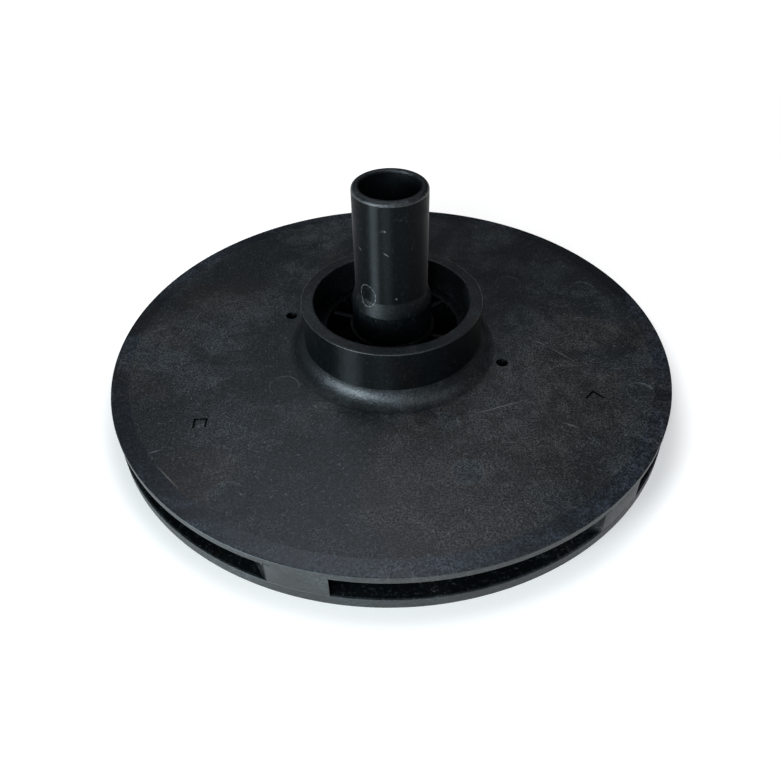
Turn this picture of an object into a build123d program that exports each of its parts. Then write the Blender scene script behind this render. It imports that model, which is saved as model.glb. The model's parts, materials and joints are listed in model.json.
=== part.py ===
"""Closed centrifugal pump impeller with a shaft tube, moulded in two halves and welded.

The back half carries the vanes, the hub and the tube. The front half is a disc with the
eye collar. Units are millimetres, +Z runs up the bore, and Z = 0 is the back face.
"""
from build123d import *
import math
import os

# Discs and flow passage
rim_radius = 95.0
back_thickness = 3.8
exit_width = 7.9
front_edge_thickness = 2.3
rim_band_width = 5.7
rim_band_rise = 0.35
rim_edge_break = 0.3
back_edge_break = 0.4

# Eye collar of the front half
collar_radius = 30.3
collar_height = 34.1
collar_root_radius = 5.4
collar_edge_break = 0.45
seat_radius = 26.1
seat_height = 23.0
throat_radius = 22.2
throat_edge_break = 0.6
throat_turn_radius = 8.0

# Hub and shaft tube of the back half
bore_radius = 9.5
bore_edge_break = 0.5
tube_radius = 11.85
tube_height = 75.0
tube_edge_break = 0.7
sleeve_radius = 13.3
sleeve_height = 34.5
sleeve_cone_length = 4.9
boss_radius = 14.4
boss_height = 23.9
boss_edge_break = 0.25
hub_turn_radius = 7.0

# Vanes
vane_count = 6
vane_first_azimuth = 39.3
vane_inlet_thickness = 1.9
vane_inlet_height = 22.3
vane_bend_radius_start = 32.5
vane_leading_sweep = 30.5
vane_trailing_sweep = 41.4
weld_groove = 0.35

# Small through holes of the front disc, each by its radius and azimuth
pin_hole_radius = 2.0
pin_hole_left = (40.6, 156.8)
pin_hole_right = (38.9, 344.2)

# Locating marks sunk in the front disc
mark_depth = 0.7
mark_stroke = 0.65
square_mark_radius = 71.3
square_mark_azimuth = 213.6
square_mark_turn = 3.5
square_mark_width = 4.3
square_mark_length = 4.0
chevron_mark_radius = 70.9
chevron_mark_azimuth = 338.0
chevron_mark_arm = 4.3
chevron_mark_angle = 84.0
chevron_mark_turn = 2.0

# Levels that follow from the sizes above
passage_top = back_thickness + exit_width
front_edge_top = passage_top + front_edge_thickness
front_top = front_edge_top + rim_band_rise
band_radius = rim_radius - rim_band_width
cut_reach = 1.0


def polar_point(radius, azimuth):
    """Return the plan position at a radius and an azimuth in degrees."""
    angle = math.radians(azimuth)
    return (radius * math.cos(angle), radius * math.sin(angle))


def revolved(outline):
    """Turn a closed outline, drawn as radius and height, into a solid of revolution."""
    face = make_face(Plane.XZ * outline)
    return revolve(face, axis=Axis.Z)


def quarter(start, end, centre):
    """Return the short arc from start to end about a centre."""
    radius = math.dist(start, centre)
    middle_x = (start[0] + end[0]) / 2 - centre[0]
    middle_y = (start[1] + end[1]) / 2 - centre[1]
    scale = radius / math.hypot(middle_x, middle_y)
    middle = (centre[0] + middle_x * scale, centre[1] + middle_y * scale)
    return ThreePointArc(start, middle, end)


def throat_turn():
    """Return the curve from the throat to the underside of the front disc, with its ends."""
    start = (throat_radius, passage_top + throat_turn_radius)
    end = (throat_radius + throat_turn_radius, passage_top)
    centre = (throat_radius + throat_turn_radius, passage_top + throat_turn_radius)
    return start, quarter(start, end, centre), end


def front_disc():
    """Return the front disc with its collar, seat, throat and sloping rim band."""
    root_start = (collar_radius + collar_root_radius, front_top)
    root_end = (collar_radius, front_top + collar_root_radius)
    root_centre = (collar_radius + collar_root_radius, front_top + collar_root_radius)
    lip_start = (throat_radius + throat_edge_break, seat_height)
    lip_end = (throat_radius, seat_height - throat_edge_break)
    turn_start, turn, turn_end = throat_turn()
    rim_top = (rim_radius, front_edge_top - rim_edge_break)
    rim_break = (rim_radius - rim_edge_break, front_edge_top)
    collar_outer = (collar_radius, collar_height - collar_edge_break)
    collar_outer_top = (collar_radius - collar_edge_break, collar_height)
    collar_inner_top = (seat_radius + collar_edge_break, collar_height)
    collar_inner = (seat_radius, collar_height - collar_edge_break)
    outline = [
        Line(turn_end, (rim_radius, passage_top)),
        Line((rim_radius, passage_top), rim_top),
        Line(rim_top, rim_break),
        Line(rim_break, (band_radius, front_top)),
        Line((band_radius, front_top), root_start),
        quarter(root_start, root_end, root_centre),
        Line(root_end, collar_outer),
        Line(collar_outer, collar_outer_top),
        Line(collar_outer_top, collar_inner_top),
        Line(collar_inner_top, collar_inner),
        Line(collar_inner, (seat_radius, seat_height)),
        Line((seat_radius, seat_height), lip_start),
        Line(lip_start, lip_end),
        Line(lip_end, turn_start),
        turn,
    ]
    return revolved(Curve() + outline)


def back_disc():
    """Return the back disc with its hub boss, sleeve, shaft tube and through bore."""
    hub_start = (boss_radius + hub_turn_radius, back_thickness)
    hub_end = (boss_radius, back_thickness + hub_turn_radius)
    hub_centre = (boss_radius + hub_turn_radius, back_thickness + hub_turn_radius)
    cone_top = (tube_radius, sleeve_height + sleeve_cone_length)
    mouth_start = (tube_radius, tube_height - tube_edge_break)
    mouth_end = (tube_radius - tube_edge_break, tube_height)
    bore_top = (bore_radius + bore_edge_break, tube_height)
    bore_top_wall = (bore_radius, tube_height - bore_edge_break)
    bore_bottom_wall = (bore_radius, bore_edge_break)
    bore_bottom = (bore_radius + bore_edge_break, 0)
    rim_bottom = (rim_radius - back_edge_break, 0)
    rim_side = (rim_radius, back_edge_break)
    boss_side = (boss_radius, boss_height - boss_edge_break)
    boss_top = (boss_radius - boss_edge_break, boss_height)
    outline = [
        Line(bore_bottom, rim_bottom),
        Line(rim_bottom, rim_side),
        Line(rim_side, (rim_radius, back_thickness)),
        Line((rim_radius, back_thickness), hub_start),
        quarter(hub_start, hub_end, hub_centre),
        Line(hub_end, boss_side),
        Line(boss_side, boss_top),
        Line(boss_top, (sleeve_radius, boss_height)),
        Line((sleeve_radius, boss_height), (sleeve_radius, sleeve_height)),
        Line((sleeve_radius, sleeve_height), cone_top),
        Line(cone_top, mouth_start),
        Line(mouth_start, mouth_end),
        Line(mouth_end, bore_top),
        Line(bore_top, bore_top_wall),
        Line(bore_top_wall, bore_bottom_wall),
        Line(bore_bottom_wall, bore_bottom),
    ]
    return revolved(Curve() + outline)


def passage_space():
    """Return the space that the vanes fill up to: under the front disc and across the throat."""
    inner_radius = (bore_radius + sleeve_radius) / 2
    floor = back_thickness / 2
    turn_start, turn, turn_end = throat_turn()
    groove_start = (rim_radius - weld_groove, passage_top)
    groove_end = (rim_radius, passage_top - weld_groove)
    outline = [
        Line((inner_radius, floor), (rim_radius, floor)),
        Line((rim_radius, floor), groove_end),
        Line(groove_end, groove_start),
        Line(groove_start, turn_end),
        turn,
        Line(turn_start, (throat_radius, vane_inlet_height)),
        Line((throat_radius, vane_inlet_height), (inner_radius, vane_inlet_height)),
        Line((inner_radius, vane_inlet_height), (inner_radius, floor)),
    ]
    return revolved(Curve() + outline)


def flank(side, sweep):
    """Return one flank of a vane: radial from the hub, then one arc out to the rim."""
    offset = side * vane_inlet_thickness / 2
    root = (0, offset)
    bend = (vane_bend_radius_start, offset)
    tip = polar_point(rim_radius, sweep)
    return Line(root, bend), TangentArc(bend, tip, tangent=(1, 0))


def vane_plan():
    """Return the plan face of one vane, radial along +X at the hub and open past the rim."""
    leading_line, leading_arc = flank(-1, vane_leading_sweep)
    trailing_line, trailing_arc = flank(1, vane_trailing_sweep)
    middle_sweep = (vane_leading_sweep + vane_trailing_sweep) / 2
    end_arc = ThreePointArc(leading_arc @ 1, polar_point(rim_radius, middle_sweep), trailing_arc @ 1)
    root_edge = Line(trailing_line @ 0, leading_line @ 0)
    return make_face(Curve() + [leading_line, leading_arc, end_arc, trailing_arc, trailing_line, root_edge])


def vanes():
    """Return the vanes, each cut to the passage so that its top seats on the front half."""
    blank = extrude(vane_plan(), amount=collar_height)
    single = blank & passage_space()
    pitch = 360 / vane_count
    return [Rot(0, 0, vane_first_azimuth + number * pitch) * single for number in range(vane_count)]


def pin_holes():
    """Return the cutters of the two small holes through the front disc."""
    depth = front_top - passage_top + 2 * cut_reach
    cutters = []
    for radius, azimuth in (pin_hole_left, pin_hole_right):
        x, y = polar_point(radius, azimuth)
        hole = Cylinder(pin_hole_radius, depth, align=(Align.CENTER, Align.CENTER, Align.MIN))
        cutters.append(Pos(x, y, passage_top - cut_reach) * hole)
    return cutters


def groove(length, start_x, start_y, turn):
    """Return the cutter of one straight engraved stroke that runs from a start point."""
    bar_height = mark_depth + cut_reach
    bar = Box(length, mark_stroke, bar_height, align=(Align.MIN, Align.CENTER, Align.MIN))
    return Pos(start_x, start_y, front_top - mark_depth) * Rot(0, 0, turn) * bar


def square_mark():
    """Return the cutter of the mark that is a square open on one side."""
    x, y = polar_point(square_mark_radius, square_mark_azimuth)
    half_width = square_mark_width / 2
    half_stroke = mark_stroke / 2
    top_y = square_mark_length / 2 - half_stroke
    top = groove(square_mark_width, -half_width, top_y, 0)
    left = groove(square_mark_length, half_stroke - half_width, -square_mark_length / 2, 90)
    right = groove(square_mark_length, half_width - half_stroke, -square_mark_length / 2, 90)
    return Pos(x, y) * Rot(0, 0, square_mark_turn) * (top + left + right)


def chevron_mark():
    """Return the cutter of the mark that is a chevron with two equal arms."""
    x, y = polar_point(chevron_mark_radius, chevron_mark_azimuth)
    rise = chevron_mark_arm * math.cos(math.radians(chevron_mark_angle / 2)) / 2
    left_turn = 270 - chevron_mark_angle / 2
    right_turn = 270 + chevron_mark_angle / 2
    left = groove(chevron_mark_arm, 0, rise, left_turn)
    right = groove(chevron_mark_arm, 0, rise, right_turn)
    return Pos(x, y) * Rot(0, 0, chevron_mark_turn) * (left + right)


def front_shroud():
    """Return the front half with its holes and marks."""
    return front_disc() - (pin_holes() + [square_mark(), chevron_mark()])


def back_shroud():
    """Return the back half: disc, hub, tube and vanes in one moulding."""
    return back_disc() + vanes()


def main():
    os.makedirs("parts", exist_ok=True)
    export_step(front_shroud(), "parts/front_shroud.step")
    export_step(back_shroud(), "parts/back_shroud.step")


main()
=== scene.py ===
"""Closed pump impeller of black moulded nylon, dressed round its packed CAD frame.

The front half is a disc with the eye collar, the back half is a disc with the hub and the
shaft tube, and six curved vanes stand between them. All places are in metres on the frame's
own axes: +Z runs up the shaft bore, and Z = 0 is the back face.
"""
import json
import math

import bmesh
import bpy
from mathutils import Matrix, Vector


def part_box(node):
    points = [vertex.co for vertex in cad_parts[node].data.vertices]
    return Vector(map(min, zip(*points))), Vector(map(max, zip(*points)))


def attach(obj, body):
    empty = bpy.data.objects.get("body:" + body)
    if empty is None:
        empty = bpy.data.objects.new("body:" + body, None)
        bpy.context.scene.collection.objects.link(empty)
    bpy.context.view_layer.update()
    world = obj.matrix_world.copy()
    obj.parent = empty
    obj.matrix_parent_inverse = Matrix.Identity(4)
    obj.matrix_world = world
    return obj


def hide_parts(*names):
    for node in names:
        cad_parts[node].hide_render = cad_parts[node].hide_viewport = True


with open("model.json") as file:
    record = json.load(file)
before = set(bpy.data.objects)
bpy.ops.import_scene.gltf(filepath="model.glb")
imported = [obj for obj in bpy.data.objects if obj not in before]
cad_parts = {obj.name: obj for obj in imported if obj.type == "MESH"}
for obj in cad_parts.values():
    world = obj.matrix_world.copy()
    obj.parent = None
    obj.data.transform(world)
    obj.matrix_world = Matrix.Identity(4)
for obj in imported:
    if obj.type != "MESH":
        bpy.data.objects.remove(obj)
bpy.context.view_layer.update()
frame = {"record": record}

bl_info = {
    "name": "Closed pump impeller",
    "version": (1, 0, 0),
    "blender": (4, 5, 0),
    "location": "View3D > Sidebar > Impeller",
    "description": "Builds a closed pump impeller of moulded nylon, with its finish and a plain stage",
    "category": "Add Mesh",
}

MM = 0.001
BODY = "root"

FRONT_LOW, FRONT_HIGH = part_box("front_shroud")
BACK_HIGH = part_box("back_shroud")[1]
MOUNT_SIZES = {mount["name"]: mount["dims"] for mount in frame["record"]["mounts"]}
COLLAR_RADIUS = MOUNT_SIZES["eye_collar"]["r_mm"] * MM
BORE_RADIUS = MOUNT_SIZES["shaft_bore"]["r_mm"] * MM
TUBE_RADIUS = MOUNT_SIZES["shaft_tube"]["r_mm"] * MM

# The flat top of the front disc, where its marks and scratches lie
EDGE_THICKNESS = 2.3 * MM
BAND_RISE = 0.35 * MM
DISC_TOP = FRONT_LOW.z + EDGE_THICKNESS + BAND_RISE

# The thicker foot of the shaft tube, which the tube's scratches follow too
SLEEVE_RADIUS = 13.3 * MM
SLEEVE_HEIGHT = 34.5 * MM
CONE_LENGTH = 4.9 * MM


# ---- sizes and colours

def length(name, description, metres):
    """Return a length property with its default in metres."""
    return bpy.props.FloatProperty(name=name, description=description, default=metres, unit="LENGTH")


def angle(name, description, degrees):
    """Return an angle property with its default in degrees."""
    return bpy.props.FloatProperty(
        name=name, description=description, default=math.radians(degrees), unit="ROTATION"
    )


def strength(name, description, amount):
    """Return a property for the strength of a light or a glow with its default."""
    return bpy.props.FloatProperty(name=name, description=description, default=amount, min=0)


def linear(hex_colour):
    """Return the linear RGBA colour of an sRGB hex value such as "1B1D20"."""
    channels = [int(hex_colour[place:place + 2], 16) / 255 for place in (0, 2, 4)]
    straight = [c / 12.92 if c <= 0.04045 else ((c + 0.055) / 1.055) ** 2.4 for c in channels]
    return (*straight, 1.0)


def colour(name, description, hex_colour):
    """Return a colour property with its default as an sRGB hex value."""
    return bpy.props.FloatVectorProperty(
        name=name, description=description, default=linear(hex_colour), size=4, subtype="COLOR", min=0, max=1
    )


class ImpellerDiscs(bpy.types.PropertyGroup):
    """Sizes of the two discs and of the eye collar."""

    rim_radius: length("Rim radius", "Outside radius of both discs", BACK_HIGH.x)
    back_thickness: length("Back thickness", "Thickness of the back disc", 3.8 * MM)
    passage_top: length("Passage top", "Height of the front disc's underside", FRONT_LOW.z)
    edge_thickness: length("Edge thickness", "Thickness of the front disc at its rim", EDGE_THICKNESS)
    band_width: length("Band width", "Width of the sloping band round the front disc", 5.7 * MM)
    band_rise: length("Band rise", "Rise of the sloping band to the flat disc", BAND_RISE)
    collar_radius: length("Collar radius", "Outside radius of the eye collar", COLLAR_RADIUS)
    collar_height: length("Collar height", "Height of the collar's top face", FRONT_HIGH.z)
    collar_root: length("Collar root", "Radius of the fillet at the collar's foot", 5.4 * MM)
    seat_radius: length("Seat radius", "Radius of the recess inside the collar", 26.1 * MM)
    seat_height: length("Seat height", "Height of the flat seat in the recess", 23.0 * MM)
    throat_radius: length("Throat radius", "Radius of the eye's throat", 22.2 * MM)
    throat_turn: length("Throat turn", "Radius of the turn from throat to passage", 8.0 * MM)


class ImpellerHub(bpy.types.PropertyGroup):
    """Sizes of the hub and the shaft tube."""

    bore_radius: length("Bore radius", "Radius of the shaft bore", BORE_RADIUS)
    tube_radius: length("Tube radius", "Outside radius of the tube", TUBE_RADIUS)
    tube_height: length("Tube height", "Height of the tube's mouth", BACK_HIGH.z)
    sleeve_radius: length("Sleeve radius", "Radius of the thicker foot of the tube", SLEEVE_RADIUS)
    sleeve_height: length("Sleeve height", "Height where the sleeve starts to taper", SLEEVE_HEIGHT)
    cone_length: length("Cone length", "Length of the taper from sleeve to tube", CONE_LENGTH)
    boss_radius: length("Boss radius", "Radius of the hub boss", 14.4 * MM)
    boss_height: length("Boss height", "Height of the hub boss", 23.9 * MM)
    hub_turn: length("Hub turn", "Radius of the turn from hub to back disc", 7.0 * MM)


class ImpellerVanes(bpy.types.PropertyGroup):
    """Number, place and shape of the vanes."""

    count: bpy.props.IntProperty(name="Vanes", description="Number of vanes", default=6, min=2)
    first_azimuth: angle("First azimuth", "Azimuth of the first vane's inlet", 39.3)
    inlet_thickness: length("Inlet thickness", "Thickness of a vane at the eye", 1.9 * MM)
    inlet_height: length("Inlet height", "Height of a vane in the eye", 22.3 * MM)
    root_radius: length("Root radius", "Radius where a vane starts inside the hub", 12.6 * MM)
    bend_radius: length("Bend radius", "Radius where a vane starts to curve", 32.5 * MM)
    leading_sweep: angle("Leading sweep", "Azimuth that the rounded flank gains by the rim", 30.5)
    trailing_sweep: angle("Trailing sweep", "Azimuth that the other flank gains by the rim", 41.4)


class ImpellerFinish(bpy.types.PropertyGroup):
    """Colours of the plastic and of what lies on it."""

    plastic: colour("Plastic", "Black nylon where it is clean", "030607")
    worn: colour("Worn", "Nylon where handling has warmed its colour", "0A0807")
    bloom: colour("Bloom", "Nylon where glass fibre shows at the surface", "3F4144")
    dust: colour("Dust", "Fine grey dust", "868C8C")
    # The lint colour also paints the highlight along the rims of the ejector marks
    lint: colour("Lint", "Fibres and specks of lint", "C4C8CC")


class ImpellerStage(bpy.types.PropertyGroup):
    """Floor and lights."""

    floor: colour("Floor", "Plain pale floor", "EFE8E1")
    # The floor glows less under the rim than beside it, which paints a contact shadow
    painted_shadow_glow: strength("Floor glow", "Light that the floor gives off under the rim", 0.33)
    open_glow: strength("Open floor glow", "Light that the floor gives off beside the impeller", 0.76)
    backdrop_glow: strength("Backdrop glow", "Light of the far floor and of the backdrop", 1.0)
    room_glow: strength("Room glow", "Light from the room all round", 0.03)
    overhead_power: strength("Overhead", "Power of the overhead softbox in watts", 0.9)
    key_power: strength("Key", "Power of the low softbox at the front left in watts", 8.0)
    front_power: strength("Front", "Power of the low softbox at the front in watts", 2.8)
    fill_power: strength("Fill", "Power of the softbox at the right in watts", 0.8)


# ---- node trees

MATH = "ShaderNodeMath"
MIX = "ShaderNodeMix"
NOISE = "ShaderNodeTexNoise"
RAMP = "ShaderNodeMapRange"
JOIN_XYZ = "ShaderNodeCombineXYZ"
SPLIT_XYZ = "ShaderNodeSeparateXYZ"
VECTOR_MATH = "ShaderNodeVectorMath"
# Kinds that name their operation too
PLUS, MINUS = (MATH, "ADD"), (MATH, "SUBTRACT")
TIMES, OVER = (MATH, "MULTIPLY"), (MATH, "DIVIDE")
TIMES_ADD, HIGHER = (MATH, "MULTIPLY_ADD"), (MATH, "MAXIMUM")
# Settings that several nodes share
SMOOTH = {"interpolation_type": "SMOOTHSTEP"}
OF_COLOURS = {"output": 2, "data_type": "RGBA"}


def add(tree, kind, inputs=(), output=0, **settings):
    """Add a node, set its settings, set or link its inputs, and return one of its outputs.

    The kind is a node's name, or a pair of it and the operation. The inputs are a dictionary
    by socket name or number, or a sequence in socket order.
    """
    if isinstance(kind, tuple):
        kind, settings["operation"] = kind
    node = tree.nodes.new(kind)
    for name, value in settings.items():
        setattr(node, name, value)
    if not isinstance(inputs, dict):
        inputs = dict(enumerate(inputs))
    for key, value in inputs.items():
        if isinstance(value, bpy.types.NodeSocket):
            tree.links.new(value, node.inputs[key])
        else:
            node.inputs[key].default_value = value
    return node.outputs[output] if node.outputs else None


# ---- meshes

def fillet(before, corner, after, radius, steps):
    """Return the points of the arc that rounds one corner of an outline."""
    corner, before, after = Vector(corner), Vector(before), Vector(after)
    to_before = (before - corner).normalized()
    to_after = (after - corner).normalized()
    half = to_before.angle(to_after) / 2
    reach = radius / math.tan(half)
    centre = corner + (to_before + to_after).normalized() * (radius / math.sin(half))
    start = corner + to_before * reach - centre
    end = corner + to_after * reach - centre
    turn = start.angle_signed(end)
    points = []
    for number in range(steps + 1):
        swing = Matrix.Rotation(-turn * number / steps, 2)
        points.append(centre + swing @ start)
    return points


def rounded_outline(corners, chord=0.35 * MM, support=0.4 * MM, fewest=4, most=20):
    """Return an outline with its corners rounded, and with points that hold the flats beside them.

    Each corner is a radius, a height and a rounding. An arc has a step for each chord of a
    quarter turn, between the fewest and the most.
    """
    rings = []
    for number, (radius, height, rounding) in enumerate(corners):
        before = corners[number - 1][:2]
        after = corners[(number + 1) % len(corners)][:2]
        arc_steps = max(fewest, min(most, round(rounding * math.pi / 2 / chord)))
        rings.append(fillet(before, (radius, height), after, rounding, arc_steps))
    outline = []
    for number, arc in enumerate(rings):
        following = rings[(number + 1) % len(rings)][0]
        outline.extend(arc)
        gap = following - arc[-1]
        if gap.length > 3 * support:
            outline.append(arc[-1] + gap.normalized() * support)
            outline.append(following - gap.normalized() * support)
    return outline


def as_mesh(shape, name):
    """Return a bmesh as a mesh with its faces turned outwards, and free the bmesh."""
    bmesh.ops.recalc_face_normals(shape, faces=shape.faces)
    mesh = bpy.data.meshes.new(name)
    shape.to_mesh(mesh)
    shape.free()
    return mesh


def turned(name, corners, zone, segments=384):
    """Return a solid of revolution from a closed outline, each face in the zone that its place gives."""
    outline = rounded_outline(corners)
    shape = bmesh.new()
    rings = []
    for number in range(segments):
        turn = 2 * math.pi * number / segments
        ring = [shape.verts.new((p.x * math.cos(turn), p.x * math.sin(turn), p.y)) for p in outline]
        rings.append(ring)
    for number, ring in enumerate(rings):
        following = rings[(number + 1) % segments]
        for place in range(len(outline)):
            after = (place + 1) % len(outline)
            face = shape.faces.new((ring[place], following[place], following[after], ring[after]))
            middle = face.calc_center_median()
            face.material_index = zone(math.hypot(middle.x, middle.y), middle.z)
    return as_mesh(shape, name)


SHARP_ANGLE = math.radians(34)


def settle(piece):
    """Turn a piece's modifiers into plain mesh and shade it smooth between its sharp edges."""
    depsgraph = bpy.context.evaluated_depsgraph_get()
    mesh = bpy.data.meshes.new_from_object(piece.evaluated_get(depsgraph))
    piece.modifiers.clear()
    old = piece.data
    piece.data = mesh
    mesh.name = piece.name
    bpy.data.meshes.remove(old)
    mesh.shade_smooth()
    mesh.set_sharp_from_angle(angle=SHARP_ANGLE)


def new_piece(name, mesh, materials):
    """Link a piece at the origin with its materials in order."""
    piece = bpy.data.objects.new(name, mesh)
    for material in materials:
        piece.data.materials.append(material)
    bpy.context.scene.collection.objects.link(piece)
    return piece


def dress(piece, node):
    """Say which body a piece rides on, and hide the CAD node that it stands for."""
    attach(piece, BODY)
    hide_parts(node)


def prism(shape, outline, low, high, zone):
    """Add an upright prism with a given plan outline to a bmesh, with its faces in one zone."""
    bottom = [shape.verts.new((x, y, low)) for x, y in outline]
    top = [shape.verts.new((x, y, high)) for x, y in outline]
    faces = [shape.faces.new(list(reversed(bottom))), shape.faces.new(top)]
    for number in range(len(outline)):
        after = (number + 1) % len(outline)
        faces.append(shape.faces.new((bottom[number], bottom[after], top[after], top[number])))
    for face in faces:
        face.material_index = zone


def polar_point(radius, azimuth):
    """Return the plan position at a radius and an azimuth in radians."""
    return Vector((radius * math.cos(azimuth), radius * math.sin(azimuth)))


def circle(centre, radius, steps=72):
    """Return a plan circle as a list of points."""
    return [centre + polar_point(radius, 2 * math.pi * number / steps) for number in range(steps)]


def placed(outline, centre, turn):
    """Return a plan outline turned and moved to its place."""
    swing = Matrix.Rotation(turn, 2)
    return [centre + swing @ Vector(point) for point in outline]


def subtract(piece, cutter_mesh, materials):
    """Cut a mesh out of a piece, keeping the cutter's zones on the new faces."""
    cutter = new_piece(piece.name + "_cutter", cutter_mesh, materials)
    cut = piece.modifiers.new("Cut", "BOOLEAN")
    cut.operation = "DIFFERENCE"
    cut.solver = "EXACT"
    cut.material_mode = "INDEX"
    cut.object = cutter
    settle(piece)
    bpy.data.objects.remove(cutter)


# ---- front half

DISC, BAND, EDGE, ROOT, WALL, PASSAGE, EJECTOR = range(7)
FRONT_SKINS = ("disc_top", "rim_band", "rim_edge", "collar_root", "collar_wall", "passage", "ejector_mark")
# How far a zone reaches past the level or the radius that bounds it
PASSAGE_SLACK, EDGE_SLACK, WALL_SLACK = 0.1 * MM, 0.2 * MM, 0.05 * MM

# Small holes through the disc: radius and azimuth
PIN_HOLES = ((40.6, 156.8), (38.9, 344.2))
PIN_HOLE_RADIUS = 2.0 * MM
MARK_DEPTH = 0.7 * MM
MARK_STROKE = 0.65 * MM
# Engraved marks: place, turn and sizes in millimetres and degrees
SQUARE_MARK = {"radius": 71.3, "azimuth": 213.6, "turn": 3.5, "width": 4.3, "length": 4.0}
CHEVRON_MARK = {"radius": 70.9, "azimuth": 338.0, "turn": 2.0, "arm": 4.3, "angle": 84.0}
# Ejector pin marks: radius, azimuth and diameter
EJECTOR_MARKS = (
    (85.1, 342.7, 9.0),
    (82.4, 236.1, 10.5),
    (41.8, 212.3, 9.5),
    (42.3, 293.4, 8.5),
    (63.6, 291.0, 9.5),
    (57.6, 39.7, 9.5),
    (79.7, 24.5, 9.5),
)
EJECTOR_DEPTH = 0.1 * MM
# Gaps in the weld line at the rim: azimuth where each starts and ends
WELD_GAPS = ((249.6, 251.0), (309.2, 311.3), (313.3, 314.9), (315.8, 318.2))
WELD_GAP_DEPTH = 0.6 * MM
WELD_GAP_HEIGHT = 0.35 * MM


def square_mark_outline(mark):
    """Return the outline of a square stroke open on its near side."""
    wide, tall, stroke = mark["width"] * MM / 2, mark["length"] * MM / 2, MARK_STROKE
    return [
        (-wide, -tall), (-wide + stroke, -tall), (-wide + stroke, tall - stroke),
        (wide - stroke, tall - stroke), (wide - stroke, -tall), (wide, -tall), (wide, tall), (-wide, tall),
    ]


def chevron_mark_outline(mark):
    """Return the outline of a chevron stroke with its point away from the front."""
    half = math.radians(mark["angle"] / 2)
    arm = mark["arm"] * MM
    reach = MARK_STROKE / 2 / math.sin(half)
    tip = arm * math.cos(half) / 2
    across, down = math.sin(half), -math.cos(half)
    side = MARK_STROKE / 2
    outer = (arm * across + side * math.cos(half), tip + arm * down + side * math.sin(half))
    inner = (arm * across - side * math.cos(half), tip + arm * down - side * math.sin(half))
    return [
        (0, tip + reach), (-outer[0], outer[1]), (-inner[0], inner[1]),
        (0, tip - reach), inner, outer,
    ]


def front_cutters(discs):
    """Return one mesh with the cutters of the holes, the marks, the ejector marks and the weld gaps."""
    top = discs.passage_top + discs.edge_thickness + discs.band_rise
    above = top + MM
    shape = bmesh.new()
    for radius, azimuth in PIN_HOLES:
        centre = polar_point(radius * MM, math.radians(azimuth))
        prism(shape, circle(centre, PIN_HOLE_RADIUS), discs.passage_top - MM, above, WALL)
    for mark, outline in (
        (SQUARE_MARK, square_mark_outline(SQUARE_MARK)),
        (CHEVRON_MARK, chevron_mark_outline(CHEVRON_MARK)),
    ):
        centre = polar_point(mark["radius"] * MM, math.radians(mark["azimuth"]))
        prism(shape, placed(outline, centre, math.radians(mark["turn"])), top - MARK_DEPTH, above, PASSAGE)
    for radius, azimuth, diameter in EJECTOR_MARKS:
        centre = polar_point(radius * MM, math.radians(azimuth))
        prism(shape, circle(centre, diameter * MM / 2), top - EJECTOR_DEPTH, above, EJECTOR)
    inside, outside = discs.rim_radius - WELD_GAP_DEPTH, discs.rim_radius + MM
    for start, end in WELD_GAPS:
        corners = ((inside, start), (outside, start), (outside, end), (inside, end))
        outline = [polar_point(radius, math.radians(azimuth)) for radius, azimuth in corners]
        prism(shape, outline, discs.passage_top - MM, discs.passage_top + WELD_GAP_HEIGHT, PASSAGE)
    return as_mesh(shape, "front_cutters")


class IMPELLER_OT_front_half(bpy.types.Operator):
    """Build the front disc with its eye collar, holes and marks"""

    bl_idname = "impeller.front_half"
    bl_label = "Front half"

    def execute(self, context):
        discs = context.scene.impeller_discs
        finish = context.scene.impeller_finish
        edge_top = discs.passage_top + discs.edge_thickness
        top = edge_top + discs.band_rise
        band_radius = discs.rim_radius - discs.band_width

        def zone(radius, height):
            if height < discs.passage_top + PASSAGE_SLACK or radius < discs.seat_radius - PASSAGE_SLACK:
                return PASSAGE
            if radius > discs.rim_radius - EDGE_SLACK:
                return EDGE
            if radius > band_radius:
                return BAND
            if radius > discs.collar_radius + discs.collar_root:
                return DISC
            if radius < discs.collar_radius - WALL_SLACK or height < top + discs.collar_root:
                return ROOT
            return WALL

        corners = [
            (discs.throat_radius, discs.passage_top, discs.throat_turn),
            (discs.rim_radius, discs.passage_top, 0.15 * MM),
            (discs.rim_radius, edge_top, 0.3 * MM),
            (band_radius, top, 2.0 * MM),
            (discs.collar_radius, top, discs.collar_root),
            (discs.collar_radius, discs.collar_height, 0.4 * MM),
            (discs.seat_radius, discs.collar_height, 0.4 * MM),
            (discs.seat_radius, discs.seat_height, 0.3 * MM),
            (discs.throat_radius, discs.seat_height, 0.6 * MM),
        ]
        materials = skins(finish, FRONT_SKINS)
        piece = new_piece("front_half", turned("front_half", corners, zone), materials)
        subtract(piece, front_cutters(discs), materials)
        dress(piece, "front_shroud")
        return {"FINISHED"}


# ---- back half

BACK_FACE, RIM, MOUTH, TUBE, SLEEVE, HUB, BORE = range(7)
BACK_SKINS = ("back_face", "rim_edge", "collar_root", "tube", "sleeve", "passage", "bore")
# How far in from the bore's wall, the tube's mouth, the rim, the back face and the cone a zone reaches
BORE_SLACK, CONE_SLACK, BORE_MOUTH_DEPTH = 0.1 * MM, 0.2 * MM, 1.0 * MM
MOUTH_ROUNDING = 1.3 * MM
RIM_DEPTH = BACK_FACE_DEPTH = 0.5 * MM


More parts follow.
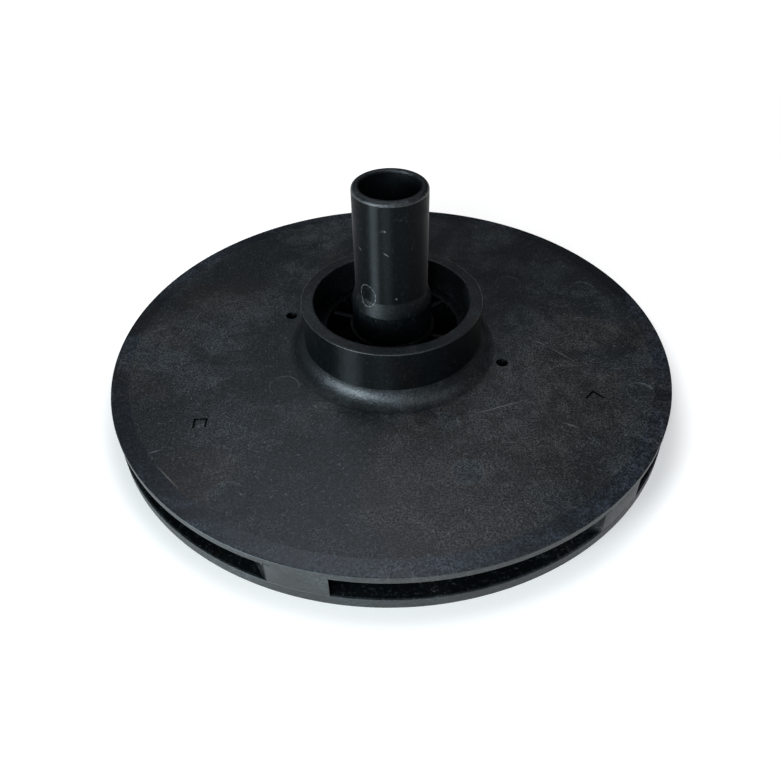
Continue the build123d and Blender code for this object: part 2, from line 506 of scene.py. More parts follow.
class IMPELLER_OT_back_half(bpy.types.Operator):
    """Build the back disc with the hub, the sleeve and the shaft tube"""

    bl_idname = "impeller.back_half"
    bl_label = "Back half"

    def execute(self, context):
        discs = context.scene.impeller_discs
        hub = context.scene.impeller_hub
        finish = context.scene.impeller_finish
        cone_top = hub.sleeve_height + hub.cone_length

        def zone(radius, height):
            if radius < hub.bore_radius + BORE_SLACK and height < hub.tube_height - BORE_MOUTH_DEPTH:
                return BORE
            if radius > discs.rim_radius - RIM_DEPTH:
                return RIM
            if height < BACK_FACE_DEPTH:
                return BACK_FACE
            if height > hub.tube_height - MOUTH_ROUNDING:
                return MOUTH
            if height > cone_top + CONE_SLACK:
                return TUBE
            if height > hub.boss_height:
                return SLEEVE
            return HUB

        corners = [
            (hub.bore_radius, 0.0, 0.5 * MM),
            (discs.rim_radius, 0.0, 0.4 * MM),
            (discs.rim_radius, discs.back_thickness, 0.25 * MM),
            (hub.boss_radius, discs.back_thickness, hub.hub_turn),
            (hub.boss_radius, hub.boss_height, 0.25 * MM),
            (hub.sleeve_radius, hub.boss_height, 0.2 * MM),
            (hub.sleeve_radius, hub.sleeve_height, 0.8 * MM),
            (hub.tube_radius, cone_top, 2.0 * MM),
            (hub.tube_radius, hub.tube_height, MOUTH_ROUNDING),
            (hub.bore_radius, hub.tube_height, 0.5 * MM),
        ]
        piece = new_piece("back_half", turned("back_half", corners, zone), skins(finish, BACK_SKINS))
        settle(piece)
        dress(piece, "back_shroud")
        return {"FINISHED"}


# ---- vanes

NUMBER = "NodeSocketFloat"
# Sockets of the vane tree that take the property of the same name
VANE_SIZES = (
    "First azimuth", "Inlet thickness", "Inlet height", "Root radius", "Bend radius",
    "Leading sweep", "Trailing sweep",
)
DISC_SIZES = ("Rim radius", "Throat radius", "Throat turn")
# Points along a vane and across it
VANE_STATIONS = 141
VANE_LANES = 5
# How far a vane bites into both discs, and how deep its end faces' skin goes
VANE_BITE = 0.04 * MM
VANE_END_DEPTH = 0.15 * MM
# The broken edges of a vane
VANE_EDGE = 0.12 * MM
VANE_EDGE_ANGLE = math.radians(50)
MERGE_REACH = 0.001 * MM


def named_inputs(tree, sockets):
    """Give a node tree its named inputs and return the outputs of its input node by name."""
    for name, kind in sockets:
        tree.interface.new_socket(name, in_out="INPUT", socket_type=kind)
    source = tree.nodes.new("NodeGroupInput")
    return {name: source.outputs[name] for name, kind in sockets}


def on_circle(tree, azimuth, radius):
    """Return the X and the Y of a place at an azimuth and a radius."""
    sides = []
    for operation in ("COSINE", "SINE"):
        share = add(tree, MATH, (azimuth,), operation=operation)
        sides.append(add(tree, TIMES, (share, radius)))
    return sides


def flank_tree():
    """Return the group that gives a flank's azimuth at a radius.

    A flank runs straight out from the hub at a side offset. From the bend radius it is the
    arc that goes on in the same direction and ends on the rim at the tip azimuth.
    """
    tree = bpy.data.node_groups.new("Flank azimuth", "GeometryNodeTree")
    names = ("Radius", "Offset", "Tip azimuth", "Bend radius", "Rim radius")
    given = named_inputs(tree, [(name, NUMBER) for name in names])
    tree.interface.new_socket("Azimuth", in_out="OUTPUT", socket_type=NUMBER)
    radius, offset, bend = given["Radius"], given["Offset"], given["Bend radius"]

    tip_x, tip_y = on_circle(tree, given["Tip azimuth"], given["Rim radius"])
    along = add(tree, MINUS, (tip_x, bend))
    across = add(tree, MINUS, (tip_y, offset))

    # The arc's radius is the squared chord over twice its rise across the vane
    across_square = add(tree, TIMES, (across, across))
    chord_square = add(tree, TIMES_ADD, (along, along, across_square))
    twice_across = add(tree, TIMES, (across, 2.0))
    arc_radius = add(tree, OVER, (chord_square, twice_across))

    # The arc's centre lies beside the bend, and the azimuth follows from the cosine rule
    centre_y = add(tree, PLUS, (offset, arc_radius))
    bend_square = add(tree, TIMES, (bend, bend))
    centre_square = add(tree, TIMES_ADD, (centre_y, centre_y, bend_square))
    centre_reach = add(tree, MATH, (centre_square,), operation="SQRT")
    centre_azimuth = add(tree, MATH, (centre_y, bend), operation="ARCTAN2")
    arc_square = add(tree, TIMES, (arc_radius, arc_radius))
    squares = add(tree, TIMES_ADD, (radius, radius, centre_square))
    difference = add(tree, MINUS, (squares, arc_square))
    twice_radius = add(tree, TIMES, (radius, 2.0))
    product = add(tree, TIMES, (twice_radius, centre_reach))
    ratio = add(tree, OVER, (difference, product))
    swing = add(tree, MATH, (ratio,), operation="ARCCOSINE")
    on_arc = add(tree, MINUS, (centre_azimuth, swing))

    share = add(tree, OVER, (offset, radius))
    on_line = add(tree, MATH, (share,), operation="ARCSINE")
    past_bend = add(tree, MATH, (radius, bend), operation="GREATER_THAN")
    azimuth = add(tree, MIX, {0: past_bend, 2: on_line, 3: on_arc})
    add(tree, "NodeGroupOutput", {"Azimuth": azimuth})
    return tree


def vane_tree():
    """Return the Geometry Nodes tree that builds one vane and repeats it round the hub."""
    flank = flank_tree()
    tree = bpy.data.node_groups.new("Vanes", "GeometryNodeTree")
    sockets = [(name, NUMBER) for name in (*VANE_SIZES, *DISC_SIZES, "Floor", "Roof")]
    sockets = [("Count", "NodeSocketInt"), *sockets, ("Material", "NodeSocketMaterial")]
    given = named_inputs(tree, sockets)
    tree.interface.new_socket("Geometry", in_out="OUTPUT", socket_type="NodeSocketGeometry")

    # A plan sheet: along the vane from the hub to the rim, and across from flank to flank
    sheet = add(tree, "GeometryNodeMeshGrid", (1.0, 1.0, VANE_STATIONS, VANE_LANES))
    place = add(tree, "GeometryNodeInputPosition")
    split = add(tree, SPLIT_XYZ, (place,)).node
    radius = add(tree, RAMP, (split.outputs["X"], -0.5, 0.5, given["Root radius"], given["Rim radius"]))
    azimuths = []
    for side, sweep in ((-0.5, "Leading sweep"), (0.5, "Trailing sweep")):
        offset = add(tree, TIMES, (given["Inlet thickness"], side))
        inputs = (radius, offset, given[sweep], given["Bend radius"], given["Rim radius"])
        azimuths.append(add(tree, "GeometryNodeGroup", inputs, node_tree=flank))
    azimuth = add(tree, RAMP, (split.outputs["Y"], -0.5, 0.5, *azimuths))
    low = add(tree, JOIN_XYZ, (*on_circle(tree, azimuth, radius), given["Floor"]))
    plan = add(tree, "GeometryNodeSetPosition", {"Geometry": sheet, "Position": low})

    # The roof follows the throat turn from the eye down to the passage
    place = add(tree, "GeometryNodeInputPosition")
    split = add(tree, SPLIT_XYZ, (place,)).node
    flat = add(tree, JOIN_XYZ, (split.outputs["X"], split.outputs["Y"], 0.0))
    reach = add(tree, VECTOR_MATH, (flat,), output=1, operation="LENGTH")
    throat, curve = given["Throat radius"], given["Throat turn"]
    turn_end = add(tree, PLUS, (throat, curve))
    inward = add(tree, RAMP, (reach, throat, turn_end, curve, 0.0))
    inward_square = add(tree, TIMES, (inward, inward))
    turn_square = add(tree, TIMES, (curve, curve))
    drop_square = add(tree, MINUS, (turn_square, inward_square))
    drop = add(tree, MATH, (drop_square,), operation="SQRT")
    centre_height = add(tree, PLUS, (given["Roof"], curve))
    under_disc = add(tree, MINUS, (centre_height, drop))
    in_eye = add(tree, MATH, (reach, throat), operation="LESS_THAN")
    roof = add(tree, MIX, {0: in_eye, 2: under_disc, 3: given["Inlet height"]})
    high = add(tree, JOIN_XYZ, (split.outputs["X"], split.outputs["Y"], roof))

    raising = {"Mesh": plan, "Offset Scale": MM, "Individual": False}
    raised = add(tree, "GeometryNodeExtrudeMesh", raising).node
    body = add(tree, "GeometryNodeSetPosition", {
        "Geometry": raised.outputs["Mesh"], "Selection": raised.outputs["Top"], "Position": high,
    })
    base = add(tree, "GeometryNodeFlipFaces", (plan,))
    join = tree.nodes.new("GeometryNodeJoinGeometry")
    tree.links.new(base, join.inputs[0])
    tree.links.new(body, join.inputs[0])
    vane = add(tree, "GeometryNodeMergeByDistance", {"Geometry": join.outputs[0], "Distance": MERGE_REACH})

    # The same vane at each station round the hub
    hubs = add(tree, "GeometryNodePoints", (given["Count"],))
    number = add(tree, "GeometryNodeInputIndex")
    pitch = add(tree, OVER, (2 * math.pi, given["Count"]))
    turn = add(tree, TIMES_ADD, (number, pitch, given["First azimuth"]))
    spin = add(tree, JOIN_XYZ, (0.0, 0.0, turn))
    ring = add(tree, "GeometryNodeInstanceOnPoints", {"Points": hubs, "Instance": vane, "Rotation": spin})
    real = add(tree, "GeometryNodeRealizeInstances", (ring,))
    finished = add(tree, "GeometryNodeSetMaterial", {"Geometry": real, "Material": given["Material"]})
    add(tree, "NodeGroupOutput", {"Geometry": finished})
    return tree


def set_inputs(modifier, values):
    """Set a Geometry Nodes modifier's inputs, finding each socket's identifier by its name."""
    for item in modifier.node_group.interface.items_tree:
        if item.item_type == "SOCKET" and item.in_out == "INPUT":
            modifier[item.identifier] = values[item.name]


class IMPELLER_OT_vanes(bpy.types.Operator):
    """Build the curved vanes between the two discs"""

    bl_idname = "impeller.vanes"
    bl_label = "Vanes"

    def execute(self, context):
        discs = context.scene.impeller_discs
        vanes = context.scene.impeller_vanes
        finish = context.scene.impeller_finish
        material, end_material = skins(finish, ("passage", "rim_edge"))
        piece = new_piece("vanes", bpy.data.meshes.new("vanes"), [])
        modifier = piece.modifiers.new("Vanes", "NODES")
        modifier.node_group = vane_tree()
        values = {
            "Count": vanes.count, "Material": material,
            "Floor": discs.back_thickness - VANE_BITE, "Roof": discs.passage_top + VANE_BITE,
        }
        for group, names in ((vanes, VANE_SIZES), (discs, DISC_SIZES)):
            for name in names:
                values[name] = getattr(group, name.lower().replace(" ", "_"))
        set_inputs(modifier, values)
        settle(piece)
        edges = piece.modifiers.new("Edges", "BEVEL")
        edges.width = VANE_EDGE
        edges.segments = 2
        edges.limit_method = "ANGLE"
        edges.angle_limit = VANE_EDGE_ANGLE
        settle(piece)
        piece.data.materials.clear()
        piece.data.materials.append(material)
        piece.data.materials.append(end_material)
        for face in piece.data.polygons:
            face.material_index = int(face.center.xy.length > discs.rim_radius - VANE_END_DEPTH)
        dress(piece, "back_shroud")
        return {"FINISHED"}


# ---- scratches and marks

# All places here are in millimetres, with azimuths in degrees

# Scratches and specks of the disc: both ends, and half-width
DISC_STROKES = (
    ((49.2, 1.7), (54.4, -1.6), 0.35),
    ((54.4, -1.6), (63.8, -11.8), 0.30),
    ((53.6, -39.3), (58.4, -41.5), 0.40),
    ((23.8, -36.4), (45.7, -28.1), 0.35),
    ((-72.4, -52.3), (-68.6, -50.7), 0.40),
    ((-69.0, -56.5), (-58.9, -66.9), 0.30),
    ((-40.3, 48.4), (-40.1, 48.4), 0.35),
    ((-41.1, 44.8), (-40.9, 44.8), 0.45),
    ((72.0, -17.2), (72.4, -17.2), 0.40),
    ((-59.9, -41.0), (-59.4, -40.9), 0.35),
    ((-58.7, -40.1), (-58.3, -40.1), 0.45),
    ((78.6, -29.5), (78.8, -29.5), 0.35),
    ((54.2, 0.0), (54.4, 0.1), 0.40),
    ((-42.3, -67.4), (-41.5, -68.0), 0.40),
)

# Scratches and specks of the tube: azimuth and height of both ends, and half-width
TUBE_STROKES = (
    ((262.5, 65.8), (262.7, 65.8), 0.42),
    ((278.3, 41.6), (278.5, 41.6), 0.38),
    ((259.6, 58.6), (268.3, 57.3), 0.22),
    ((215.0, 58.0), (222.0, 57.0), 0.20),
)
# The scratched oval: azimuth, height, half of each span, number of strokes and their half-width
OVAL_AZIMUTH, OVAL_HEIGHT = 231.0, 41.3
OVAL_AROUND, OVAL_UP = 15.0, 4.0
OVAL_STEPS = 13
OVAL_LINE = 0.20

# Where the disc looks warmest: x, y and radius
DISC_STAINS = ((14.0, -62.0, 36.0), (-56.0, -60.0, 14.0), (62.0, -30.0, 16.0))


def disc_lines():
    """Return the scratches and specks of the disc's top as pairs of places with a half-width."""
    height = DISC_TOP / MM
    return [((*start, height), (*end, height), width) for start, end, width in DISC_STROKES]


def on_tube(azimuth, height):
    """Return the place on the wall of the tube or its foot at an azimuth and a height."""
    down_cone = max(0.0, SLEEVE_HEIGHT + CONE_LENGTH - height * MM)
    radius = TUBE_RADIUS + down_cone * (SLEEVE_RADIUS - TUBE_RADIUS) / CONE_LENGTH
    return (*polar_point(radius / MM, math.radians(azimuth)), height)


def tube_lines():
    """Return the tube's scratches and specks, with the scratched outline of an oval."""
    lines = [(on_tube(*start), on_tube(*end), width) for start, end, width in TUBE_STROKES]
    oval = []
    for number in range(OVAL_STEPS):
        turn = 2 * math.pi * number / OVAL_STEPS
        azimuth = OVAL_AZIMUTH + OVAL_AROUND * math.cos(turn)
        oval.append(on_tube(azimuth, OVAL_HEIGHT + OVAL_UP * math.sin(turn)))
    for number, start in enumerate(oval):
        lines.append((start, oval[number - 1], OVAL_LINE))
    return lines


# ---- materials

# Patterns in the plastic and in what lies on it, each scaled by its size. The real grain and lint
# are too fine to show, so they are drawn as coarse as they need to show.
GRAIN = {"Scale": 1 / (0.6 * MM), "Detail": 2.0, "Roughness": 0.75}
BLOTCHES = {"Scale": 1 / (5 * MM), "Detail": 5.0, "Roughness": 0.72, "Distortion": 0.8}
CLOUDS = {"Scale": 1 / (30 * MM), "Detail": 9.0, "Roughness": 0.62, "Distortion": 0.4}
DRIFT = {"Scale": 1 / (38 * MM), "Detail": 4.0, "Distortion": 0.3}
CURLS = {"Scale": 1 / (2.4 * MM), "Detail": 1.0, "Distortion": 2.6}
BREAKS = {"Scale": 1 / (1.3 * MM), "Detail": 2.0}
SPECKS = {"Scale": 1 / (1.7 * MM)}
# Radii between which the dust of the rim sets in
RIM_DUST_START, RIM_DUST_END = 86 * MM, 95 * MM
# The painted highlight on a round mark's rim lies inside a soft spot that reaches this share of a diameter,
# and so high
RING_REACH = 0.6
RING_HEIGHT = 4 * MM
SCRATCH_STRENGTH = 0.24
# How bright the painted highlight along the round marks' rims is
RING_HIGHLIGHT_STRENGTH = 0.15
# What the warm drift does to the colour
WARM_TINT = (1.12, 0.97, 0.88, 1.0)
WHITE = (1.0, 1.0, 1.0, 1.0)

# Each face's nylon, and what it gives the eye: roughness, bloom, dust, lint and grain height, then the rest
SKINS = {
    # The broad top of the front disc is cloudy, dusty and scuffed, with a painted highlight along the rims
    # of the ejector marks
    "disc_top": (
        (0.38, 1.6, 0.15, 0.34, 0.07 * MM),
        {"lines": disc_lines(), "rings": EJECTOR_MARKS, "stains": DISC_STAINS},
    ),
    # The rim band is smoother and looks slightly blue
    "rim_band": ((0.34, 1.2, 0.14, 0.12, 0.04 * MM), {"tint": (0.92, 0.99, 1.14, 1.0), "rim_dust": 0.3}),
    # The rim walls are chalky with fine dust rubbed into the moulded skin
    "rim_edge": ((0.50, 0.7, 0.085, 0.12, 0.06 * MM), {"tint": (0.92, 1.0, 1.02, 1.0), "cling": 0.9}),
    # The collar's foot and top are coarsely grained, so their shine sparkles
    "collar_root": ((0.40, 0.6, 0.06, 0.10, 0.13 * MM), {}),
    # The collar's upright wall is blacker and glossier than the disc
    "collar_wall": ((0.40, 0.06, 0.02, 0.05, 0.05 * MM), {"ior": 1.20, "drawn": 0.95}),
    # The shaft tube is softly polished where shafts and hands have rubbed it
    "tube": ((0.40, 0.03, 0.01, 0.06, 0.012 * MM), {"ior": 1.25, "drawn": 0.95, "lines": tube_lines()}),
    # The tube's foot is duller than the tube above it
    "sleeve": ((0.42, 0.10, 0.02, 0.10, 0.06 * MM), {"ior": 1.26, "lines": tube_lines()}),
    # The shaft bore is black and dull
    "bore": ((0.45, 0.05, 0.0, 0.05, 0.03 * MM), {"ior": 1.35}),
    # The flow passage is dark, with loose dust on its floor
    "passage": ((0.40, 0.05, 0.03, 0.25, 0.02 * MM), {"ior": 1.22, "cling": 0.1, "rim_dust": 0.2}),
    # The round ejector pin marks are slightly paler than the disc round them, with a painted highlight along
    # their rims
    "ejector_mark": ((0.40, 1.9, 0.20, 0.14, 0.03 * MM), {"lines": disc_lines(), "rings": EJECTOR_MARKS}),
    # The flat back face is plain, with little dust
    "back_face": ((0.36, 0.7, 0.0, 0.1, 0.04 * MM), {}),
}


def new_material(name):
    """Return a new material and its node tree, emptied."""
    material = bpy.data.materials.new(name)
    material.use_nodes = True
    material.node_tree.nodes.clear()
    return material, material.node_tree


def soft_spot(tree, place, centre, size, turn=(0, 0, 0)):
    """Return a value that is 1 at a centre and falls to 0 at the surface of an ellipsoid."""
    local = add(tree, "ShaderNodeMapping", {
        "Vector": place, "Location": centre, "Rotation": turn, "Scale": size,
    }, vector_type="TEXTURE")
    return add(tree, "ShaderNodeTexGradient", (local,), output=1, gradient_type="SPHERICAL")


def scratches(tree, place, lines):
    """Return a value that is highest along short scratches and specks, each from end to end."""
    shade = 0.0
    for start, end, width in lines:
        start, end = Vector(start) * MM, Vector(end) * MM
        span = end - start
        turn = span.to_track_quat("X", "Z").to_euler() if span.length else (0, 0, 0)
        size = (span.length / 2 + width * MM, width * MM, width * MM)
        spot = soft_spot(tree, place, (start + end) / 2, size, turn)
        shade = add(tree, HIGHER, (spot, shade))
    return add(tree, RAMP, (shade, 0.0, 1.0, 0.0, SCRATCH_STRENGTH))


def ring_highlights(tree, place, rings):
    """Return a painted highlight that is highest along the rims of round marks on the disc."""
    field = 0.0
    for radius, azimuth, diameter in rings:
        centre = (*polar_point(radius * MM, math.radians(azimuth)), DISC_TOP)
        reach = diameter * MM * RING_REACH
        spot = soft_spot(tree, place, centre, (reach, reach, RING_HEIGHT))
        field = add(tree, HIGHER, (spot, field))
    from_edge = add(tree, MINUS, (field, 1 - 0.5 / RING_REACH))
    from_edge = add(tree, MATH, (from_edge,), operation="ABSOLUTE")
    return add(tree, RAMP, (from_edge, 0.0, 0.06, RING_HIGHLIGHT_STRENGTH, 0.0))


def fibres_and_specks(tree, place, lint):
    """Return a value that is highest on fine curled fibres and on a few scattered specks."""
    # The fibres are the thin level lines of a twisted noise, broken by a second one
    curls = add(tree, NOISE, {"Vector": place, **CURLS})
    level = add(tree, MINUS, (curls, 0.5))
    level = add(tree, MATH, (level,), operation="ABSOLUTE")
    line = add(tree, RAMP, (level, 0.0, 0.022, 1.0, 0.0))
    breaks = add(tree, NOISE, {"Vector": place, **BREAKS})
    broken = add(tree, RAMP, (breaks, 0.52, 0.60, 0.0, 0.7))
    fibres = add(tree, TIMES, (line, broken))

    # The specks are the centres of a few scattered cells
    cells = add(tree, "ShaderNodeTexVoronoi", {"Vector": place, **SPECKS}).node
    near = add(tree, RAMP, (cells.outputs["Distance"], 0.04, 0.11, 1.0, 0.0))
    pick = add(tree, SPLIT_XYZ, (cells.outputs["Color"],), output="X")
    chosen = add(tree, RAMP, (pick, 0.80, 1.0, 0.0, 1.4))
    specks = add(tree, TIMES, (near, chosen))
    litter = add(tree, HIGHER, (fibres, specks))
    return add(tree, TIMES, (litter, lint))


def lying_dust(tree, place, cling, rim_dust):
    """Return how much dust can lie: on what looks up, a little elsewhere, and more near the rim."""
    facing = add(tree, "ShaderNodeNewGeometry", output="Normal")
    upward = add(tree, SPLIT_XYZ, (facing,), output="Z")
    lying = add(tree, RAMP, (upward, 0.35, 0.95, cling, 1.0), **SMOOTH)
    plan = add(tree, VECTOR_MATH, (place, (1.0, 1.0, 0.0)), operation="MULTIPLY")
    reach = add(tree, VECTOR_MATH, (plan,), output=1, operation="LENGTH")
    outer = add(tree, RAMP, (reach, RIM_DUST_START, RIM_DUST_END, 0.0, rim_dust), **SMOOTH)
    return add(tree, PLUS, (lying, outer))


def moulded_nylon(
    name, finish, roughness, bloom, dust, lint, grain_height,
    tint=WHITE, ior=1.53, cling=0.0, rim_dust=0.0, drawn=0.0, lines=(), rings=(), stains=(),
):
    """Return black glass-filled nylon as it leaves a mould: dark, finely grained, softly shiny.

    Bloom is how much pale glass fibre shows, and lint is fibres and specks. Cling is how much
    dust stays on upright faces, and rim_dust is how much more lies near the rim. Drawn is how
    far the fine turned lines of a round wall stretch its shine. Lines are scratches, rings are
    the round marks whose rims get a painted highlight, and stains are where the warm tone is
    strongest.
    """
    material, tree = new_material(name)
    place = add(tree, "ShaderNodeTexCoord", output="Object")

    grain = add(tree, NOISE, {"Vector": place, **GRAIN})
    clouds = add(tree, NOISE, {"Vector": place, **CLOUDS})
    blotches = add(tree, NOISE, {"Vector": place, **BLOTCHES})
    cloud_share = add(tree, RAMP, (clouds, 0.42, 0.62, 0.0, 1.0), **SMOOTH)
    blotch_share = add(tree, RAMP, (blotches, 0.38, 0.66, 0.0, 1.0))
    patches = add(tree, TIMES_ADD, (blotch_share, 0.85, 0.15))
    patches = add(tree, TIMES, (patches, cloud_share))
    grain_share = add(tree, RAMP, (grain, 0.41, 0.63, 0.0, 1.0))

    # The black drifts between a cool and a warm tone over a few centimetres
    drift = add(tree, NOISE, {"Vector": place, **DRIFT})
    for x, y, radius in stains:
        size = (radius * MM, radius * MM, radius * MM)
        stain = soft_spot(tree, place, (x * MM, y * MM, DISC_TOP), size)
        drift = add(tree, TIMES_ADD, (stain, 0.35, drift))
    warm = add(tree, RAMP, (drift, 0.52, 0.66, 0.0, 1.0), **SMOOTH)
    colours = add(tree, MIX, {0: warm, 6: finish.plastic, 7: finish.worn}, **OF_COLOURS)

    # Glass fibre in the skin and dust on it lie in cloudy patches, broken up by the grain
    bloom_share = add(tree, TIMES_ADD, (patches, 0.75, 0.27))
    bloom_share = add(tree, TIMES, (bloom_share, grain_share))
    bloom_share = add(tree, TIMES, (bloom_share, bloom))
    dust_share = add(tree, TIMES, (patches, grain_share))
    dust_share = add(tree, TIMES_ADD, (dust_share, 1.15, 0.10))
    lying = lying_dust(tree, place, cling, rim_dust)
    dust_share = add(tree, TIMES, (dust_share, lying))
    dust_share = add(tree, TIMES, (dust_share, dust))
    litter = fibres_and_specks(tree, place, lint)
    litter = add(tree, HIGHER, (litter, scratches(tree, place, lines)))
    # The rims of the round marks get a painted highlight, broken up by the blotches
    ring_highlight = add(tree, TIMES, (ring_highlights(tree, place, rings), blotch_share))
    litter = add(tree, HIGHER, (litter, ring_highlight))

    # The litter share holds lint, scratches and the painted highlight on the marks' rims
    for share, layer in ((bloom_share, finish.bloom), (dust_share, finish.dust), (litter, finish.lint)):
        colours = add(tree, MIX, {0: share, 6: colours, 7: layer}, **OF_COLOURS)
    for share, cast in ((1.0, tint), (warm, WARM_TINT)):
        colours = add(tree, MIX, {0: share, 6: colours, 7: cast}, blend_type="MULTIPLY", **OF_COLOURS)

    rough = add(tree, TIMES_ADD, (patches, 0.12, roughness))
    height = add(tree, TIMES_ADD, (blotches, 1.5, grain))
    bump = add(tree, "ShaderNodeBump", {"Strength": 1.0, "Distance": grain_height, "Height": height})
    around = add(tree, "ShaderNodeTangent", direction_type="RADIAL", axis="Z")
    surface = add(tree, "ShaderNodeBsdfPrincipled", {
        "Base Color": colours, "Roughness": rough, "IOR": ior, "Normal": bump,
        "Anisotropic": drawn, "Anisotropic Rotation": 0.25, "Tangent": around,
    })
    add(tree, "ShaderNodeOutputMaterial", {"Surface": surface})
    return material


def skins(finish, kinds):
    """Return the nylon of each kind of face, in order."""
    made = []
    for kind in kinds:
        values, rest = SKINS[kind]
        made.append(moulded_nylon("nylon_" + kind, finish, *values, **rest))
    return made


# ---- stage

STAGE_REACH = 4.0
# Radii between which the floor brightens out of its painted contact shadow beside the rim, and then towards
# the backdrop
SHADE_START, SHADE_END = 95 * MM, 110 * MM
FAR_START, FAR_END = 0.3, 0.9

# Softboxes: name, azimuth and elevation in degrees, width, and tint
COOL, CYAN = (0.84, 0.90, 1.0), (0.74, 0.90, 1.0)
SOFTBOXES = (
    ("overhead", 108, 68, 0.36, COOL),
    ("key", 223, 8, 0.26, CYAN),
    ("front", 258, 25, 0.26, CYAN),
    ("fill", 320, 52, 0.36, COOL),
)
LIGHT_DISTANCE = 0.75
LIGHT_AIM = (0, 0, 0.02)
ROOM_COLOUR = (0.92, 0.96, 1.0, 1.0)

# The camera stands in front and looks down by its tilt
CAMERA_PLACE = (0.005021, -0.201384, 0.177606)
CAMERA_TILT = math.radians(41.41)
LENS_LENGTH = 34.01
SENSOR_WIDTH = 36.0
LENS_SHIFT = (-0.0216, -0.0209)
NEAREST = 0.01


def polar_place(distance, azimuth, elevation):
    """Return the place at a distance from the origin in a direction given in degrees."""
    rise = math.radians(elevation)
    plan = polar_point(distance * math.cos(rise), math.radians(azimuth))
    return Vector((*plan, distance * math.sin(rise)))


def build_floor(stage):
    """Build the pale paper floor, which glows so that its far part looks evenly white, and glows less under
    the rim as a painted contact shadow.
    """
    mesh = bpy.data.meshes.new("floor")
    corners = [(-1, -1, 0), (1, -1, 0), (1, 1, 0), (-1, 1, 0)]
    mesh.from_pydata([Vector(corner) * STAGE_REACH for corner in corners], [], [(0, 1, 2, 3)])
    material, tree = new_material("floor_paper")
    place = add(tree, "ShaderNodeTexCoord", output="Object")
    reach = add(tree, VECTOR_MATH, (place,), output=1, operation="LENGTH")
    # The glow dips under the rim: a painted contact shadow on the floor
    glow = add(tree, RAMP, (reach, SHADE_START, SHADE_END, stage.painted_shadow_glow, stage.open_glow), **SMOOTH)
    farther = add(tree, RAMP, (reach, FAR_START, FAR_END, 0.0, stage.backdrop_glow - stage.open_glow))
    glow = add(tree, PLUS, (glow, farther))
    paper = add(tree, "ShaderNodeBsdfPrincipled", {
        "Base Color": stage.floor, "Roughness": 0.9, "Specular IOR Level": 0.0,
        "Emission Color": WHITE, "Emission Strength": glow,
    })
    add(tree, "ShaderNodeOutputMaterial", {"Surface": paper})
    floor = new_piece("floor", mesh, [material])


def build_backdrop(stage):
    """Build the white backdrop, which neither lights the impeller nor shows in its gloss."""
    shape = bmesh.new()
    bmesh.ops.create_uvsphere(shape, u_segments=48, v_segments=24, radius=STAGE_REACH)
    material, tree = new_material("backdrop_paper")
    paper = add(tree, "ShaderNodeEmission", {"Color": WHITE, "Strength": stage.backdrop_glow})
    add(tree, "ShaderNodeOutputMaterial", {"Surface": paper})
    backdrop = new_piece("backdrop", as_mesh(shape, "backdrop"), [material])
    backdrop.visible_diffuse = False
    backdrop.visible_glossy = False
    backdrop.visible_shadow = False


def build_softbox(name, place, width, watts, tint):
    """Add a square area light at a place, turned to the impeller."""
    light = bpy.data.lights.new(name, "AREA")
    light.shape = "SQUARE"
    light.size = width
    light.energy = watts
    light.color = tint
    lamp = bpy.data.objects.new(name, light)
    lamp.location = place
    lamp.rotation_euler = (Vector(LIGHT_AIM) - place).to_track_quat("-Z", "Y").to_euler()
    bpy.context.scene.collection.objects.link(lamp)


def build_room(scene, stage):
    """Build the world, which gives a faint light all round."""
    world = bpy.data.worlds.new("studio")
    scene.world = world
    world.use_nodes = True
    tree = world.node_tree
    tree.nodes.clear()
    glow = add(tree, "ShaderNodeBackground", {"Color": ROOM_COLOUR, "Strength": stage.room_glow})
    add(tree, "ShaderNodeOutputWorld", {"Surface": glow})


def build_camera(scene):
    """Build the camera and make it the scene's own."""
    lens = bpy.data.cameras.new("camera")
    lens.lens = LENS_LENGTH
    lens.sensor_width = SENSOR_WIDTH
    lens.shift_x, lens.shift_y = LENS_SHIFT
    lens.clip_start = NEAREST
    camera = bpy.data.objects.new("camera", lens)
    camera.location = CAMERA_PLACE
    camera.rotation_euler = (math.radians(90) - CAMERA_TILT, 0.0, 0.0)
    scene.collection.objects.link(camera)
    scene.camera = camera


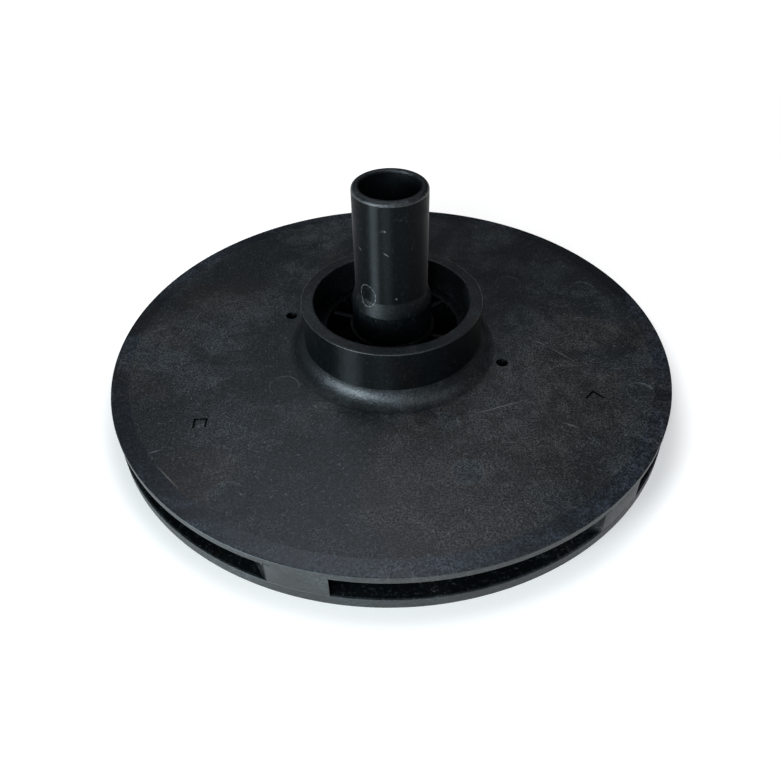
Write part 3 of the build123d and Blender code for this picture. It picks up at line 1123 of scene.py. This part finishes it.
class IMPELLER_OT_stage(bpy.types.Operator):
    """Build the pale floor, the backdrop, the soft lights and the camera"""

    bl_idname = "impeller.stage"
    bl_label = "Stage"

    def execute(self, context):
        stage = context.scene.impeller_stage
        build_floor(stage)
        build_backdrop(stage)
        for name, azimuth, elevation, width, tint in SOFTBOXES:
            place = polar_place(LIGHT_DISTANCE, azimuth, elevation)
            build_softbox(name, place, width, getattr(stage, name + "_power"), tint)
        build_room(context.scene, stage)
        build_camera(context.scene)
        context.scene.view_settings.view_transform = "Standard"
        return {"FINISHED"}


# ---- panel and run

PROPERTIES = {
    "impeller_discs": ImpellerDiscs,
    "impeller_hub": ImpellerHub,
    "impeller_vanes": ImpellerVanes,
    "impeller_finish": ImpellerFinish,
    "impeller_stage": ImpellerStage,
}
OPERATORS = (IMPELLER_OT_front_half, IMPELLER_OT_back_half, IMPELLER_OT_vanes, IMPELLER_OT_stage)


class IMPELLER_PT_panel(bpy.types.Panel):
    """Lists the impeller's sizes, colours and build steps"""

    bl_idname = "IMPELLER_PT_panel"
    bl_label = "Impeller"
    bl_space_type = "VIEW_3D"
    bl_region_type = "UI"
    bl_category = "Impeller"

    def draw(self, context):
        for attribute, group in PROPERTIES.items():
            box = self.layout.box()
            box.label(text=group.__doc__)
            for name in group.__annotations__:
                box.prop(getattr(context.scene, attribute), name)
        for operator in OPERATORS:
            self.layout.operator(operator.bl_idname)


def register():
    for group in PROPERTIES.values():
        bpy.utils.register_class(group)
    for attribute, group in PROPERTIES.items():
        setattr(bpy.types.Scene, attribute, bpy.props.PointerProperty(type=group))
    for operator in OPERATORS:
        bpy.utils.register_class(operator)
    bpy.utils.register_class(IMPELLER_PT_panel)


def unregister():
    bpy.utils.unregister_class(IMPELLER_PT_panel)
    for operator in reversed(OPERATORS):
        bpy.utils.unregister_class(operator)
    for attribute in PROPERTIES:
        delattr(bpy.types.Scene, attribute)
    for group in reversed(PROPERTIES.values()):
        bpy.utils.unregister_class(group)


def main():
    register()
    bpy.ops.impeller.front_half()
    bpy.ops.impeller.back_half()
    bpy.ops.impeller.vanes()
    bpy.ops.impeller.stage()


if __name__ == "__main__":
    main()
